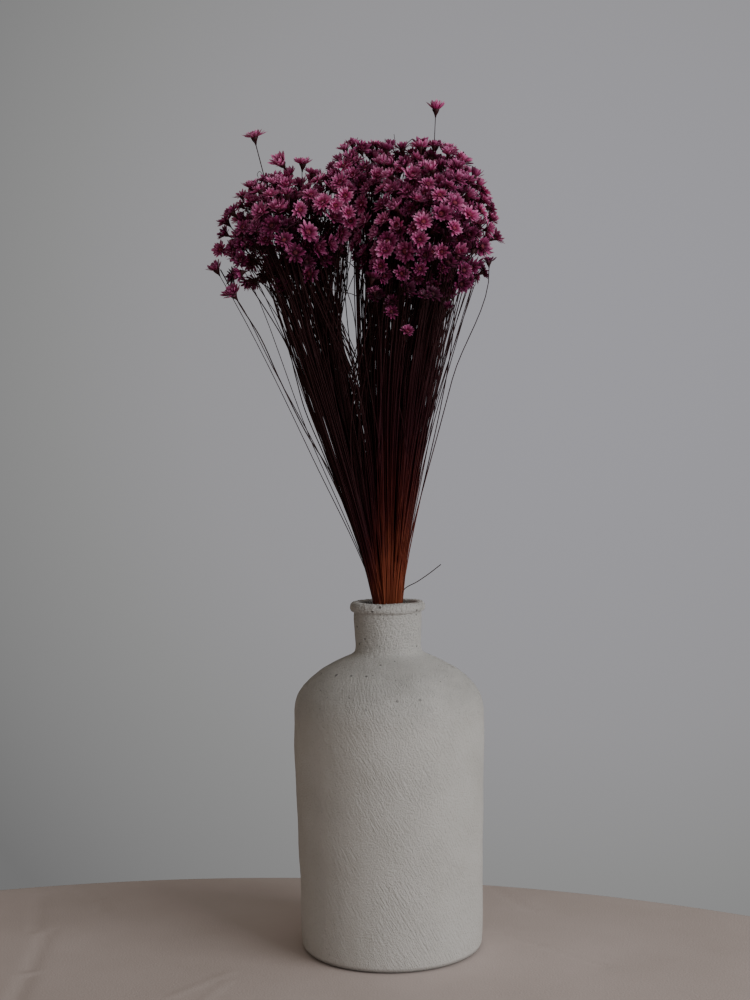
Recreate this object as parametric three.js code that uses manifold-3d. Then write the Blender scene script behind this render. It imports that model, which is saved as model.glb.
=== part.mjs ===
// Preserved glixia: a bunch of small dried star daisies in a plaster-coated bottle vase.
// Millimetres, +Z up, origin at the centre of the vase's base, -Y towards the front.
import * as THREE from 'three';
import { mergeVertices } from 'three/addons/utils/BufferGeometryUtils.js';
import Module from 'manifold-3d';

const wasm = await Module();
wasm.setup();

// Vase
const VASE_HEIGHT = 181.5;
const VASE_WALL = 4.4;
const VASE_SIDES = 26;
const FLOOR_THICKNESS = 6;
const FOOT_RADIUS = 48.3;
const FOOT_CORNER = 6;
const BODY_RADIUS = 50.2; // the body widens to this a little below its shoulder
const BODY_Z = 108;
const SHOULDER_Z = 123.8; // where the shoulder's corner starts to turn in
const SHOULDER_CORNER = 22.8;
const SHOULDER_SLOPE = THREE.MathUtils.degToRad(28);
const SLOPE_TOP = [23, 152.5]; // radius and height where the shoulder's slope meets the fillet under the neck
const NECK_RADIUS = 17.2;
const NECK_Z = 157;
const NECK_FLARE = 1.1; // how much wider the neck is under its lip
const LIP_RADIUS = 20.4;
const LIP_HEIGHT = 6.5;
const LIP_ROUNDING = 3;
const CREASE = 0.6; // how far the fillet under the neck and the crease under the lip are drawn out
const MOUTH_RADIUS = 14.6;
const CAVITY_CORNER = 5;

// Bunch
const SEED = 41;
const STEM_RADIUS = 0.4;
const STEM_SIDES = 3;
const STEM_PITCH = 0.8; // from stem to stem in the mouth, where they are tightest
const MOUTH_Z = 178; // level of that tightest round
const CROOK = [0.55, 0.78]; // share of a stem's height where it leaves its strand and bends out to its head
const STRAND_Z = 318; // level of the places that the strands pass
const STRAND_CURVE = 1.15; // over 1 for strands that rise steeply out of the mouth and lean out more and more
const STRAY_BEND = 0.45; // a stray's stem bows inwards, most at this share of its height
const STRAY_HUG = 0.97; // and there it is this much nearer the axis than a straight one
const FACE_ALONG_STEM = 0.6; // a head's facing, beside 1 for straight out of its lobe
const FACE_NOD = 0.5;
const HOLLOW = 0.45; // share of a lobe, from its middle, that holds no head
const LOW_HOLLOW = 0.75; // the same below this height, where the stems come in
const LOW_HOLLOW_TOP = -0.2;
const LOBE_BOTTOM = -0.85;
const CLEARANCE = 0.12; // least gap between the heads, and between a head and another's stem
const STEM_NEED = 0.77; // least distance between two stems' middles: three-sided ones turned alike just pass
const STEM_TOUCH = 0.72; // and at this distance they count as touching
const SPREADING_ROUNDS = 80;
const SPREADING_DRIFT = 0.02; // how far a head drifts out in a round, as a share of its lobe
const SETTLING_ROUNDS = 600;
const SETTLED_FROM = 0.6; // share of those rounds after which nothing but a lack of room moves a flower
const SETTLING_DRIFT = 0.01;
const CROOK_PULL = 0.1; // share of the way that a crook goes back to its easy place in a round
const UNTANGLE_EVERY = 10; // rounds
const HEAD_YIELDS = 0.4; // of the room that a head and a stem lack. The stem yields the rest.

// Flower heads, as shares of the head's radius from its middle
const HEAD_RADIUS = [4, 5.3];
const HEAD_FLATNESS = 1.35; // width of the round that petals of any opening reach, over its height
const CALYX_DEPTH = 0.8;
const DISC_HEIGHT = 0.2;
const NOTCH = 0.56; // between two petals
const PETALS = 6;
const CUP = [4, 38]; // degrees that the petals rise
const HALF_CLOSED_CUP = 58;
const HALF_CLOSED_SHARE = 0.12;

// Feet and tie, hidden in the vase
const TUFTS = 38; // groups of stems that share one foot
const TUFT_FOOT_RADIUS = 0.75;
const FOOT_SIDES = 4;
const FOOT_PITCH = 1.75; // least distance from foot to foot
const FOOT_TOP_Z = 171;
const FOOT_SPLAY = 1.6; // how much wider the bunch stands on the floor than in the mouth
const ROOT_Z = 166; // tip of a stem inside its foot
const ROOT_GATHER = 0.1; // how far out that tip still is, as a share of the stem's way out of the foot
const SEAT_GAP = 0.3; // from foot to floor
const TIE_Z = 161;
const TIE_HEIGHT = 4;
const TIE_THICKNESS = 1.4;
const TIE_GAP = 0.15;
const TIE_SIDES = 20;

// The heads crowd in lobes. Each has its centre, half sizes, lean in degrees and number of heads. Its stems
// run in a strand, which passes the given place where they bend out, and is that much narrower than the lobe.
const LOBES = [
  {
    centre: [-53.5, 3, 378.5], half: [36.5, 33, 30], lean: -22,
    strand: [-36.5, 1], narrowing: 0.38, heads: 109,
  },
  {
    centre: [-30, 0, 386.5], half: [15, 27, 24], lean: 0,
    strand: [-27, 0], narrowing: 0.4, heads: 23,
  },
  {
    centre: [-1.5, 3, 396.5], half: [22, 28, 27], lean: 0,
    strand: [-3, 1], narrowing: 0.5, heads: 48,
  },
  {
    centre: [22.5, -3, 380.5], half: [39, 40, 41], lean: 0,
    strand: [11.5, -1], narrowing: 0.52, heads: 161,
  },
];

// Heads that stand clear of the lobes, each with its own place, radius, the way it faces and its petals' rise
const STRAYS = [
  { at: [-66.6, -2, 430.5], radius: 5.2, facing: [-0.2, -0.35, 1], cup: 8 },
  { at: [29.4, -4, 443.4], radius: 4.3, facing: [0.05, -0.15, 1], cup: 42 },
  { at: [-55, -8, 417], radius: 4.5, facing: [-0.5, -0.9, 0.6], cup: 20 },
  { at: [-42.8, 0, 417], radius: 4.8, facing: [0.1, -0.2, 1], cup: 24 },
  { at: [-75.2, -6, 403], radius: 4.1, facing: [-0.2, -0.3, 1], cup: 30 },
  { at: [-87.8, -4, 368.2], radius: 4.3, facing: [-0.5, -1, 0.1], cup: 10 },
  { at: [-89, 4, 358.2], radius: 4, facing: [-0.5, -0.4, 0.9], cup: 34 },
  { at: [-79, -9, 344.3], radius: 4.4, facing: [-0.9, -0.6, 0.3], cup: 16 },
  { at: [55.2, -10, 359], radius: 4, facing: [-0.1, -0.3, 1], cup: 30 },
  { at: [3.8, -33, 330.8], radius: 4.1, facing: [0, -1, 0.25], cup: 14 },
  { at: [11.7, -31, 321], radius: 4, facing: [0.2, -0.8, 0.6], cup: 24 },
  { at: [20.9, -36, 338.4], radius: 4.3, facing: [0.1, -0.8, 0.8], cup: 20 },
  { at: [31.9, -31, 332.8], radius: 4, facing: [0.3, -0.7, 0.7], cup: 46 },
  { at: [-5, -31, 342], radius: 4.4, facing: [-0.2, -0.4, 1], cup: 10 },
];

const UP = new THREE.Vector3(0, 0, 1);

// The vase's wall as an outline of radius and height, from the axis under the base to the axis on its floor
function vaseOutline() {
  const shoulderCentre = BODY_RADIUS - SHOULDER_CORNER;
  const lipFoot = VASE_HEIGHT - LIP_HEIGHT;
  const innerBody = BODY_RADIUS - VASE_WALL;
  const innerFoot = FOOT_RADIUS - VASE_WALL;
  const innerNeck = NECK_RADIUS - VASE_WALL + NECK_FLARE;
  const innerCorner = (SHOULDER_CORNER - VASE_WALL) * Math.cos(SHOULDER_SLOPE);
  const innerShoulder = shoulderCentre + (SHOULDER_CORNER - VASE_WALL) * Math.sin(SHOULDER_SLOPE);
  const line = new THREE.Path();
  line.moveTo(0, 0);
  line.lineTo(FOOT_RADIUS - FOOT_CORNER, 0);
  line.quadraticCurveTo(FOOT_RADIUS, 0, FOOT_RADIUS, FOOT_CORNER);
  line.lineTo(BODY_RADIUS, BODY_Z);
  line.absarc(shoulderCentre, SHOULDER_Z, SHOULDER_CORNER, 0, Math.PI / 2 - SHOULDER_SLOPE, false);
  line.lineTo(...SLOPE_TOP);
  line.quadraticCurveTo(NECK_RADIUS + CREASE, NECK_Z - LIP_ROUNDING, NECK_RADIUS, NECK_Z);
  line.lineTo(NECK_RADIUS + NECK_FLARE, lipFoot);
  line.quadraticCurveTo(LIP_RADIUS + CREASE, lipFoot + CREASE, LIP_RADIUS, lipFoot + LIP_HEIGHT / 2);
  line.quadraticCurveTo(LIP_RADIUS, VASE_HEIGHT, LIP_RADIUS - LIP_ROUNDING, VASE_HEIGHT);
  line.quadraticCurveTo(MOUTH_RADIUS, VASE_HEIGHT, MOUTH_RADIUS, VASE_HEIGHT - LIP_ROUNDING);
  line.lineTo(innerNeck, lipFoot - LIP_ROUNDING);
  line.lineTo(innerNeck, NECK_Z - LIP_ROUNDING);
  line.lineTo(innerShoulder, SHOULDER_Z + innerCorner);
  line.lineTo(innerBody, SHOULDER_Z);
  line.lineTo(innerBody, BODY_Z);
  line.lineTo(innerFoot, FLOOR_THICKNESS + CAVITY_CORNER);
  line.lineTo(innerFoot - CAVITY_CORNER, FLOOR_THICKNESS);
  line.lineTo(0, FLOOR_THICKNESS);
  const stepsPerCurve = 2;
  return line.getPoints(stepsPerCurve);
}

// Turns an outline of radius and height about Z
function turned(outline, sides) {
  return new THREE.LatheGeometry(outline, sides).rotateX(Math.PI / 2);
}

// Seeded random numbers from 0 to 1 (mulberry32)
function randomFrom(seed) {
  let state = seed;
  return () => {
    state = (state + 0x6d2b79f5) | 0;
    let mixed = Math.imul(state ^ (state >>> 15), 1 | state);
    mixed = (mixed + Math.imul(mixed ^ (mixed >>> 7), 61 | mixed)) ^ mixed;
    return ((mixed ^ (mixed >>> 14)) >>> 0) / 2 ** 32;
  };
}

const random = randomFrom(SEED);
const between = (low, high) => low + (high - low) * random();

function randomInBall() {
  const point = new THREE.Vector3();
  do point.set(between(-1, 1), between(-1, 1), between(-1, 1));
  while (point.lengthSq() > 1);
  return point;
}

// One flower. Its stem runs from its root in the mouth by a crook to its base; the head sits there and faces
// along its axis. A stray has a facing and no lobe, and its head stays put.
function flower({ at, radius, cup, facing, lobe }) {
  return {
    head: new THREE.Vector3(...at),
    radius,
    cup: THREE.MathUtils.degToRad(cup),
    facing: facing && new THREE.Vector3(...facing).normalize(),
    lobe,
    nod: randomInBall(),
    bend: between(...CROOK),
    tuft: 0,
    root: new THREE.Vector3(0, 0, MOUTH_Z),
    crook: new THREE.Vector3(),
    base: new THREE.Vector3(),
    axis: new THREE.Vector3(),
  };
}

// Heads crowd the outside of each lobe and leave its underside, where the stems enter, nearly free
function flowersOf({ centre, half, lean, strand, narrowing, heads }) {
  const tilt = new THREE.Quaternion().setFromAxisAngle(
    new THREE.Vector3(0, 1, 0), THREE.MathUtils.degToRad(lean));
  const lobe = {
    middle: new THREE.Vector3(...centre),
    half: new THREE.Vector3(...half),
    tilt,
    untilt: tilt.clone().invert(),
    strand: new THREE.Vector2(...strand),
    narrowing,
  };
  const made = [];
  while (made.length < heads) {
    const spot = randomInBall();
    const depth = spot.length();
    if (depth < (spot.z < LOW_HOLLOW_TOP ? LOW_HOLLOW : HOLLOW) || spot.z < LOBE_BOTTOM) continue;
    const at = spot.multiply(lobe.half).applyQuaternion(tilt).add(lobe.middle).toArray();
    const cup = random() < HALF_CLOSED_SHARE ? HALF_CLOSED_CUP : between(...CUP);
    made.push(flower({ at, radius: between(...HEAD_RADIUS), cup, lobe }));
  }
  return made;
}

// Where a head is in its lobe, as a point of the unit ball
function inLobe(f, out) {
  return out.subVectors(f.head, f.lobe.middle).applyQuaternion(f.lobe.untilt).divide(f.lobe.half);
}

// A head faces partly along its stem and partly out of its lobe, and nods a little at random
const outward = new THREE.Vector3();
function face(f) {
  if (f.facing) f.axis.copy(f.facing);
  else {
    inLobe(f, outward).divide(f.lobe.half).applyQuaternion(f.lobe.tilt).normalize();
    f.axis.subVectors(f.head, f.root).normalize().multiplyScalar(FACE_ALONG_STEM);
    f.axis.add(outward).addScaledVector(f.nod, FACE_NOD).normalize();
  }
  f.base.copy(f.head).addScaledVector(f.axis, -CALYX_DEPTH * f.radius);
}

// Lets a head drift outwards, and keeps it in its lobe
const spot = new THREE.Vector3();
function confine(f, drift) {
  if (f.facing) return;
  const depth = inLobe(f, spot).length();
  spot.multiplyScalar(Math.min(1, depth + drift) / depth);
  f.head.copy(spot.multiply(f.lobe.half).applyQuaternion(f.lobe.tilt)).add(f.lobe.middle);
}

// Where a stem would bend out of its strand if it had all the room
function easyCrook(f, out) {
  if (f.facing) {
    out.lerpVectors(f.root, f.base, STRAY_BEND);
    out.x *= STRAY_HUG;
    out.y *= STRAY_HUG;
    return out;
  }
  out.lerpVectors(f.root, f.base, f.bend);
  const { middle, strand, narrowing } = f.lobe;
  const rise = ((out.z - MOUTH_Z) / (STRAND_Z - MOUTH_Z)) ** STRAND_CURVE;
  out.x = (strand.x + (f.head.x - middle.x) * narrowing) * rise;
  out.y = (strand.y + (f.head.y - middle.y) * narrowing) * rise;
  return out;
}

// A stem's two stretches, with how a push at a share of the way along one moves its ends. The root stays.
const stretches = (f) => [[f.root, f.crook], [f.crook, f.base]];

function pushStretch(f, index, share, way, amount) {
  const even = amount / ((1 - share) ** 2 + share ** 2);
  const atCrook = index === 0 ? share : 1 - share;
  f.crook.addScaledVector(way, even * atCrook);
  if (index === 0 || f.facing) return;
  f.base.addScaledVector(way, even * share);
  f.head.addScaledVector(way, even * share);
}

const apart = new THREE.Vector3();

function headsApart(f, g) {
  apart.subVectors(f.head, g.head);
  const lack = f.radius + g.radius + CLEARANCE - apart.length();
  if (lack <= 0) return;
  apart.normalize();
  const each = f.facing || g.facing ? lack : lack / 2;
  if (!f.facing) f.head.addScaledVector(apart, each);
  if (!g.facing) g.head.addScaledVector(apart, -each);
}

// How much room a head lacks beside another's stem, and the move that makes it. The head counts as a
// flattened ball.
const flatA = new THREE.Vector3();
const flatB = new THREE.Vector3();
function flattened(point, f, out) {
  out.subVectors(point, f.head);
  return out.addScaledVector(f.axis, (HEAD_FLATNESS - 1) * out.dot(f.axis));
}

function headOffStem(f, g, need, move) {
  let worst = 0;
  stretches(g).forEach(([from, to], index) => {
    flattened(from, f, flatA);
    flattened(to, f, flatB);
    const along = (flatA.lengthSq() - flatA.dot(flatB)) / flatA.distanceToSquared(flatB);
    const share = THREE.MathUtils.clamp(along, 0, 1);
    const lack = f.radius + STEM_RADIUS + need - flatA.lerp(flatB, share).length();
    if (lack <= 0) return;
    worst = Math.max(worst, lack);
    if (!move) return;
    apart.lerpVectors(from, to, share).sub(f.head).normalize();
    if (!f.facing) f.head.addScaledVector(apart, -HEAD_YIELDS * lack);
    pushStretch(g, index, share, apart, (1 - HEAD_YIELDS) * lack);
  });
  return worst;
}

// Shortest way between the stretches a-b and c-d, as the shares s and t along them
const u = new THREE.Vector3();
const v = new THREE.Vector3();
const w = new THREE.Vector3();
const closest = { s: 0, t: 0 };
function nearest(a, b, c, d) {
  u.subVectors(b, a);
  v.subVectors(d, c);
  w.subVectors(a, c);
  const uu = u.lengthSq();
  const vv = v.lengthSq();
  const uv = u.dot(v);
  const uw = u.dot(w);
  const vw = v.dot(w);
  const area = uu * vv - uv * uv;
  const s = area > 1e-9 ? THREE.MathUtils.clamp((uv * vw - vv * uw) / area, 0, 1) : 0;
  closest.t = THREE.MathUtils.clamp((uv * s + vw) / vv, 0, 1);
  closest.s = THREE.MathUtils.clamp((uv * closest.t - uw) / uu, 0, 1);
}

// How much room two stems lack, and the move that makes it
const onOne = new THREE.Vector3();
const onOther = new THREE.Vector3();
function stemsApart(f, g, need, move) {
  let worst = 0;
  stretches(f).forEach(([a, b], i) => {
    stretches(g).forEach(([c, d], j) => {
      nearest(a, b, c, d);
      const { s, t } = closest;
      apart.subVectors(onOne.lerpVectors(a, b, s), onOther.lerpVectors(c, d, t));
      const lack = need - apart.length();
      if (lack <= 0) return;
      worst = Math.max(worst, lack);
      if (!move) return;
      apart.normalize();
      pushStretch(f, i, s, apart, lack / 2);
      pushStretch(g, j, t, apart, -lack / 2);
    });
  });
  return worst;
}

// Places for the stems in the mouth: the points of a triangular grid nearest the axis
function mouthPlaces(count) {
  const reach = Math.ceil(Math.sqrt(count));
  const places = [];
  for (let row = -reach; row <= reach; row++) {
    for (let column = -reach; column <= reach; column++) {
      const x = (column + (row & 1) / 2) * STEM_PITCH;
      const y = row * STEM_PITCH * Math.sin(Math.PI / 3);
      places.push(new THREE.Vector3(x, y, MOUTH_Z));
    }
  }
  places.sort((p, q) => Math.hypot(p.x, p.y) - Math.hypot(q.x, q.y) || p.x - q.x || p.y - q.y);
  return places.slice(0, count);
}

// Where a stem slants, as its way out for each millimetre of height
const slant = (f, axis) => f.crook[axis] / (f.crook.z - MOUTH_Z);

// Cuts the flowers and the places in the mouth alike, across the way that the places spread most, and gives
// each part its places. Flowers that slant apart pass the mouth apart, so that stems don't have to cross.
function share(flowers, places, parts, give) {
  if (parts === 1) {
    give(flowers, places);
    return;
  }
  const spread = (axis) => {
    const along = places.map((p) => p[axis]);
    return Math.max(...along) - Math.min(...along);
  };
  const [axis, other] = spread('x') > spread('y') ? ['x', 'y'] : ['y', 'x'];
  flowers.sort((f, g) => slant(f, axis) - slant(g, axis));
  places.sort((p, q) => p[axis] - q[axis] || p[other] - q[other]);
  const first = Math.floor(parts / 2);
  const cut = Math.round((flowers.length * first) / parts);
  share(flowers.slice(0, cut), places.slice(0, cut), first, give);
  share(flowers.slice(cut), places.slice(cut), parts - first, give);
}

// Two stems change places in the mouth, and in their tufts, if they would cross on the way to their crooks
function untangle(f, g) {
  const alongX = (f.root.x - g.root.x) * (f.crook.x - g.crook.x);
  const alongY = (f.root.y - g.root.y) * (f.crook.y - g.crook.y);
  if (alongX + alongY >= 0) return;
  [f.root, g.root] = [g.root, f.root];
  [f.tuft, g.tuft] = [g.tuft, f.tuft];
}

function everyPair(items, use) {
  for (let i = 0; i < items.length; i++) {
    for (let j = i + 1; j < items.length; j++) use(items[i], items[j]);
  }
}

// Grows the bunch: heads spread in their lobes, stems are shared out over the mouth, then all make room
function grown() {
  const flowers = [...LOBES.flatMap(flowersOf), ...STRAYS.map(flower)];
  for (let round = 0; round < SPREADING_ROUNDS; round++) {
    for (const f of flowers) confine(f, SPREADING_DRIFT);
    everyPair(flowers, headsApart);
  }
  for (const f of flowers) {
    face(f);
    easyCrook(f, f.crook);
  }
  let tufts = 0;
  share(flowers, mouthPlaces(flowers.length), TUFTS, (members, places) => {
    for (const f of members) f.tuft = tufts;
    tufts += 1;
    share(members, places, members.length, ([f], [place]) => f.root.copy(place));
  });
  const easy = new THREE.Vector3();
  for (let round = 0; round < SETTLING_ROUNDS; round++) {
    const slack = Math.max(0, 1 - round / (SETTLED_FROM * SETTLING_ROUNDS));
    if (slack > 0 && round % UNTANGLE_EVERY === 0) everyPair(flowers, untangle);
    for (const f of flowers) {
      confine(f, SETTLING_DRIFT * slack);
      face(f);
      f.crook.lerp(easyCrook(f, easy), CROOK_PULL * slack);
    }
    everyPair(flowers, (f, g) => {
      headsApart(f, g);
      headOffStem(f, g, CLEARANCE, true);
      headOffStem(g, f, CLEARANCE, true);
      stemsApart(f, g, STEM_NEED, true);
    });
    for (const f of flowers) face(f);
  }
  return flowers;
}

// Whether two flowers still touch
function crowded(f, g) {
  const need = CLEARANCE / 2;
  if (f.head.distanceTo(g.head) < f.radius + g.radius + need) return true;
  if (headOffStem(f, g, need, false) > 0 || headOffStem(g, f, need, false) > 0) return true;
  return stemsApart(f, g, STEM_TOUCH, false) > 0;
}

// Drops the flowers that still crowd another, the worst first and strays last
function thinned(flowers) {
  const crowding = new Map(flowers.map((f) => [f, new Set()]));
  everyPair(flowers, (f, g) => {
    if (!crowded(f, g)) return;
    crowding.get(f).add(g);
    crowding.get(g).add(f);
  });
  const badness = ([f, others]) => (others.size > 0) * (f.facing ? 1 : 1 + others.size);
  for (;;) {
    const [worst, others] = [...crowding].sort((p, q) => badness(q) - badness(p))[0];
    if (others.size === 0) return [...crowding.keys()];
    for (const g of others) crowding.get(g).delete(worst);
    crowding.delete(worst);
  }
}

// Feet stand under the middle of their stems, moved apart where two come close
function settledFeet(tufts) {
  const feet = tufts.map((members) => {
    const middle = new THREE.Vector3();
    for (const f of members) middle.add(f.root);
    return middle.divideScalar(members.length).setZ(FOOT_TOP_Z);
  });
  for (let round = 0; round < SPREADING_ROUNDS; round++) {
    everyPair(feet, (p, q) => {
      apart.subVectors(p, q);
      const lack = Math.max(0, FOOT_PITCH - apart.length());
      apart.normalize();
      p.addScaledVector(apart, lack / 2);
      q.addScaledVector(apart, -lack / 2);
    });
  }
  return feet;
}

function solidOf(geometry) {
  const bare = new THREE.BufferGeometry();
  bare.setAttribute('position', geometry.getAttribute('position'));
  bare.setIndex(geometry.getIndex());
  const merged = mergeVertices(bare, 1e-4);
  const mesh = new wasm.Mesh({
    numProp: 3,
    vertProperties: new Float32Array(merged.getAttribute('position').array),
    triVerts: new Uint32Array(merged.getIndex().array),
  });
  return new wasm.Manifold(mesh);
}

function geometryOf(solid) {
  const { vertProperties, triVerts } = solid.getMesh();
  const geometry = new THREE.BufferGeometry();
  geometry.setAttribute('position', new THREE.BufferAttribute(vertProperties, 3));
  geometry.setIndex(new THREE.BufferAttribute(triVerts, 1));
  return geometry;
}

// Triangles from the ring of vertices that starts at low to the one that starts at high. A ring of one is a
// tip.
function bridged(low, lowCount, high, highCount) {
  const faces = [];
  const lowEdges = lowCount > 1 ? lowCount : 0;
  const highEdges = highCount > 1 ? highCount : 0;
  let i = 0;
  let j = 0;
  while (i < lowEdges || j < highEdges) {
    const a = low + (i % lowCount);
    const b = high + (j % highCount);
    const lowIsBehind = (i + 0.5) / lowEdges <= (j + 0.5) / highEdges;
    if (i < lowEdges && (j === highEdges || lowIsBehind)) {
      i += 1;
      faces.push(a, low + (i % lowCount), b);
    } else {
      j += 1;
      faces.push(a, high + (j % highCount), b);
    }
  }
  return faces;
}

// A closed solid over rings of points that run the same way round, from tip to tip
function skinned(rings) {
  const index = [];
  let start = 0;
  for (let k = 0; k + 1 < rings.length; k++) {
    const next = start + rings[k].length;
    index.push(...bridged(start, rings[k].length, next, rings[k + 1].length));
    start = next;
  }
  const geometry = new THREE.BufferGeometry().setFromPoints(rings.flat());
  geometry.setIndex(index);
  return solidOf(geometry);
}

function levelRing(centre, radius, sides) {
  return Array.from({ length: sides }, (_, k) => {
    const angle = Math.PI / 2 + (2 * Math.PI * k) / sides;
    return new THREE.Vector3(radius * Math.cos(angle), radius * Math.sin(angle), 0).add(centre);
  });
}

// Tips of the petals and notches between them, about the head's middle and facing up
function petalRing({ radius, cup }) {
  return Array.from({ length: 2 * PETALS }, (_, k) => {
    const angle = Math.PI / 2 + (Math.PI * k) / PETALS;
    const reach = radius * (k % 2 ? NOTCH : 1);
    const out = reach * Math.cos(cup);
    const up = (reach * Math.sin(cup)) / HEAD_FLATNESS;
    return new THREE.Vector3(out * Math.cos(angle), out * Math.sin(angle), up);
  });
}

// Points about the origin that face up, turned to face another way and moved
function placed(points, way, place) {
  const turn = new THREE.Quaternion().setFromUnitVectors(UP, way);
  return points.map((p) => p.applyQuaternion(turn).add(place));
}

// A stem from its tip in the foot up to the calyx, opening into petals round a raised disc. Under the calyx the
// stem's section faces half along the stem and half along the head, so that it never folds flat.
function flowerSolid(f, foot) {
  const tip = new THREE.Vector3().lerpVectors(foot, f.root, ROOT_GATHER).setZ(ROOT_Z);
  const bend = new THREE.Vector3().subVectors(f.base, f.crook).normalize().add(f.axis).normalize();
  const section = levelRing(new THREE.Vector3(), STEM_RADIUS, STEM_SIDES);
  const disc = new THREE.Vector3(0, 0, DISC_HEIGHT * f.radius);
  return skinned([
    [tip],
    levelRing(f.root, STEM_RADIUS, STEM_SIDES),
    levelRing(f.crook, STEM_RADIUS, STEM_SIDES),
    placed(section, bend, f.base),
    placed(petalRing(f), f.axis, f.head),
    placed([disc], f.axis, f.head),
  ]);
}

// The lower stem ends of a tuft as one slim post from the floor up
function footSolid(top) {
  const floor = top.clone().multiplyScalar(FOOT_SPLAY).setZ(FLOOR_THICKNESS + SEAT_GAP);
  return skinned([
    [floor],
    levelRing(floor, TUFT_FOOT_RADIUS, FOOT_SIDES),
    levelRing(top, TUFT_FOOT_RADIUS, FOOT_SIDES),
    [top],
  ]);
}

function tuftGeometry(members, foot) {
  const flowers = members.map((f) => flowerSolid(f, foot));
  return geometryOf(flowers.reduce((sum, one) => sum.add(one), footSolid(foot)));
}

// A ring round the feet, just clear of the outermost
function tieGeometry(feet) {
  const rise = (FOOT_TOP_Z - TIE_Z) / (FOOT_TOP_Z - FLOOR_THICKNESS);
  const splay = 1 + (FOOT_SPLAY - 1) * rise;
  const outermost = Math.max(...feet.map((foot) => Math.hypot(foot.x, foot.y))) * splay;
  const inside = outermost + TUFT_FOOT_RADIUS + TIE_GAP;
  const outside = inside + TIE_THICKNESS;
  const corners = [
    [inside, TIE_Z - TIE_HEIGHT / 2],
    [outside, TIE_Z - TIE_HEIGHT / 2],
    [outside, TIE_Z + TIE_HEIGHT / 2],
    [inside, TIE_Z + TIE_HEIGHT / 2],
    [inside, TIE_Z - TIE_HEIGHT / 2],
  ];
  return turned(corners.map(([r, z]) => new THREE.Vector2(r, z)), TIE_SIDES);
}

function named(name, geometry, material) {
  const mesh = new THREE.Mesh(geometry, material);
  mesh.name = name;
  return mesh;
}

const plaster = new THREE.MeshStandardMaterial({ color: 0xd6d1c6, roughness: 0.95, metalness: 0 });
const driedFlower = new THREE.MeshStandardMaterial({ color: 0x83325a, roughness: 0.8, metalness: 0 });
const twine = new THREE.MeshStandardMaterial({ color: 0x9a7a4c, roughness: 0.9, metalness: 0 });

const tufts = Array.from({ length: TUFTS }, () => []);
for (const f of thinned(grown())) tufts[f.tuft].push(f);
const feet = settledFeet(tufts);

const bunch = new THREE.Group();
tufts.forEach((members, k) => {
  const name = `tuft_${String(k + 1).padStart(2, '0')}`;
  bunch.add(named(name, tuftGeometry(members, feet[k]), driedFlower));
});
bunch.add(named('tie_band', tieGeometry(feet), twine));

const group = new THREE.Group();
group.add(named('vase', turned(vaseOutline(), VASE_SIDES), plaster));
group.add(bunch);

export default group;
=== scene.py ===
# Preserved glixia, a loose bunch of small dried star daisies, in a bottle vase with a brushed plaster coat.
# Metres, +Z up. The origin is the centre of the vase's base, and -Y faces the photograph's camera.
import math

import bpy
import numpy as np
from mathutils import Matrix, Vector


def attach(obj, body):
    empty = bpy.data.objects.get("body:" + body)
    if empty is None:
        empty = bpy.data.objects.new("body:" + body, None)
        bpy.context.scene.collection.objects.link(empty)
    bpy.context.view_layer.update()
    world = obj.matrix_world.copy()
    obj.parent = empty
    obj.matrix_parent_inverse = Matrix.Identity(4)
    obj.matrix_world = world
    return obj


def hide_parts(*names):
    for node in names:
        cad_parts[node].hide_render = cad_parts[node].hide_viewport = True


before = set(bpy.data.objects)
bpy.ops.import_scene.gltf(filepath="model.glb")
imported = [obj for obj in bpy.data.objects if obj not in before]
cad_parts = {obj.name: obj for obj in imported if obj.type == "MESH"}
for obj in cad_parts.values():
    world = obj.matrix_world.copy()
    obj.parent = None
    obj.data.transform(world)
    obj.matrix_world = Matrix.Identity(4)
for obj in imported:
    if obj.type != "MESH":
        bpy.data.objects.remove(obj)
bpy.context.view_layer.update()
MM = 0.001

# Camera
# It stands about 75 cm in front of the vase, level with the middle of the stems, and looks straight ahead.
CAMERA_PLACE = (-0.0057, -0.745, 0.248)
SENSOR_WIDTH = 36  # mm, along the long side of the picture
FOCAL_LENGTH = 50.6
CAMERA_SHIFT = -0.0244  # the picture's middle is this share of its height below the camera's level
CAMERA_ROLL = math.radians(-0.78)

camera_data = bpy.data.cameras.new("photo_camera")
camera_data.sensor_width = SENSOR_WIDTH
camera_data.lens = FOCAL_LENGTH
camera_data.shift_y = CAMERA_SHIFT
camera = bpy.data.objects.new("photo_camera", camera_data)
level = Matrix.Translation(CAMERA_PLACE) @ Matrix.Rotation(math.pi / 2, 4, "X")
camera.matrix_world = level @ Matrix.Rotation(CAMERA_ROLL, 4, "Z")
bpy.context.scene.collection.objects.link(camera)
bpy.context.scene.camera = camera


# Light
# A big soft window to the right of the camera lights the vase from the front right. The room gives the rest,
# most of it from the window's side. The pale wall behind is plain grey, a little brighter towards the window.
WINDOW_SIDE = np.array((0.78, -0.60, 0.26))  # the direction that the light comes from
WINDOW_DISTANCE = 1.5
WINDOW_ABOVE = 0.22  # it faces this far above the table
WINDOW_SIZE = 1.0
WINDOW_POWER = 12
ROOM_FROM = (-0.45, 1.0)  # how far a direction points to the window where the room is dimmest and brightest
ROOM_LIGHT = [(0, "#62584c"), (1, "#9e9d9c")]
WALL_FROM = (0.86, 1.0)
WALL_SIDE = (0.148, 0.984, 0.098)  # where the wall is brightest
WALL_LIGHT = [(0, "#737373"), (0.29, "#868686"), (0.5, "#919191"), (0.72, "#9c9b9e"), (1, "#a3a2a8")]


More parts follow.
